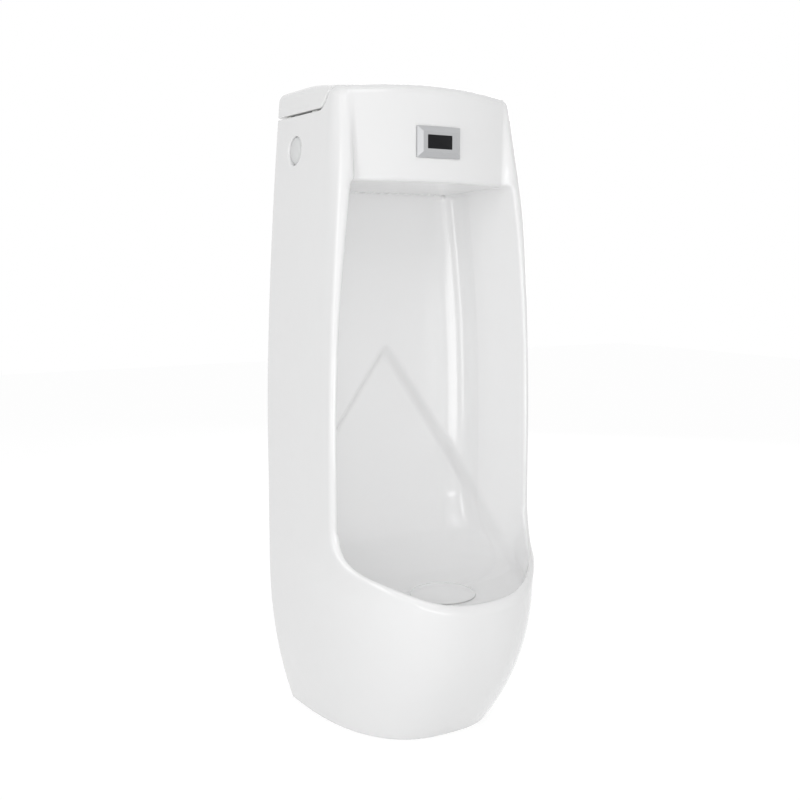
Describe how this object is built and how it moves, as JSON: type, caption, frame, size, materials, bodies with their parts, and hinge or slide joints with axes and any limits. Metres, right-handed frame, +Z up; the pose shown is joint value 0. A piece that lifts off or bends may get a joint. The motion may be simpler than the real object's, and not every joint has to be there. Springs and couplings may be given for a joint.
{
  "type": "floor-standing urinal",
  "caption": "Floor-standing glazed ceramic urinal with a deep trough, a sensor-operated wash valve in the head and a lift-off top cover.",
  "frame": {"origin": "on the floor, at the middle of the overall width and depth", "axes": "+Z up, +X to the right of someone facing the front, the front looks along -Y and the flat back along +Y"},
  "size_m": [0.3712, 0.3666, 1],
  "materials": {
    "glaze": "smooth white glaze, high gloss",
    "satin_silver": "satin, fine brushed",
    "smoked_window": "polished, infrared-clear black",
    "black_plastic": "fine moulded grain",
    "grey_plastic": "fine moulded grain",
    "white_plastic": "smooth moulded",
    "rubber_black": "soft moulded",
    "rubber_clear": "soft moulded, milky",
    "brass": "machined, dull",
    "steel": "plain sheet and machined steel",
    "board": "lacquered circuit board",
    "cell_wrap": "printed foil, plain",
    "eye_clear": "clear moulded"
  },
  "bodies": {
    "root": {"ceramic_body": "glaze", "cover_pads": "rubber_clear", "sensor_gasket": "rubber_black", "sensor_bezel": "satin_silver", "sensor_window": "smoked_window", "sensor_housing": "black_plastic", "sensor_board": "board", "ir_emitter": "eye_clear", "ir_receiver": "eye_clear", "sensor_clamp": "steel", "clamp_nuts": "steel", "spud_washer": "rubber_black", "inlet_spud": "brass", "spud_nut": "brass", "outlet_elbow": "brass", "solenoid_body": "brass", "solenoid_bonnet": "steel", "bonnet_screws": "steel", "plunger_spring": "steel", "solenoid_coil": "black_plastic", "coil_washer": "steel", "coil_nut": "steel", "valve_bracket": "steel", "bracket_screws": "steel", "stop_valve_body": "brass", "union_nut": "brass", "inlet_filter": "steel", "control_box": "grey_plastic", "control_board": "board", "control_box_lid": "grey_plastic", "battery_box": "black_plastic", "batteries": "cell_wrap", "battery_contacts": "steel", "battery_lid": "black_plastic", "sensor_lead": "black_plastic", "valve_lead": "black_plastic", "battery_lead": "black_plastic", "side_plug_left": "white_plastic", "side_plug_right": "white_plastic", "outlet_seal": "rubber_black"},
    "cover": {"top_cover": "glaze"},
    "drain_cover_body": {"drain_cover": "glaze"},
    "stop_handle": {"stop_ball": "steel", "stop_stem": "brass", "stop_lever": "steel", "lever_screw": "steel"},
    "plunger_body": {"plunger": "steel"},
    "diaphragm_body": {"valve_diaphragm": "rubber_black"}
  },
  "joints": [
    {"name": "cover_lift", "type": "slide", "parent": "root", "child": "cover", "axis": [0, 0, 1], "range_m": [0, 0.12]},
    {"name": "drain_cover_lift", "type": "slide", "parent": "root", "child": "drain_cover_body", "axis": [0, 0, 1], "range_m": [0, 0.1]},
    {"name": "stop_valve_turn", "type": "hinge", "parent": "root", "child": "stop_handle", "pos_m": [0.102, 0.0915, 0.9175], "axis": [0, 0, 1], "range_deg": [0, 90]},
    {"name": "plunger_slide", "type": "slide", "parent": "root", "child": "plunger_body", "axis": [0, 0, 1], "range_m": [0, 0.003], "stiffness_N_per_m": 150, "springref_m": -0.008, "deforming": ["plunger_spring"]},
    {"name": "diaphragm_lift", "type": "slide", "parent": "root", "child": "diaphragm_body", "axis": [0, 0, 1], "range_m": [0, 0.002]}
  ],
  "couplings": [
    {"joint": "diaphragm_lift", "follows": "plunger_slide", "ratio": 0.6667}
  ]
}
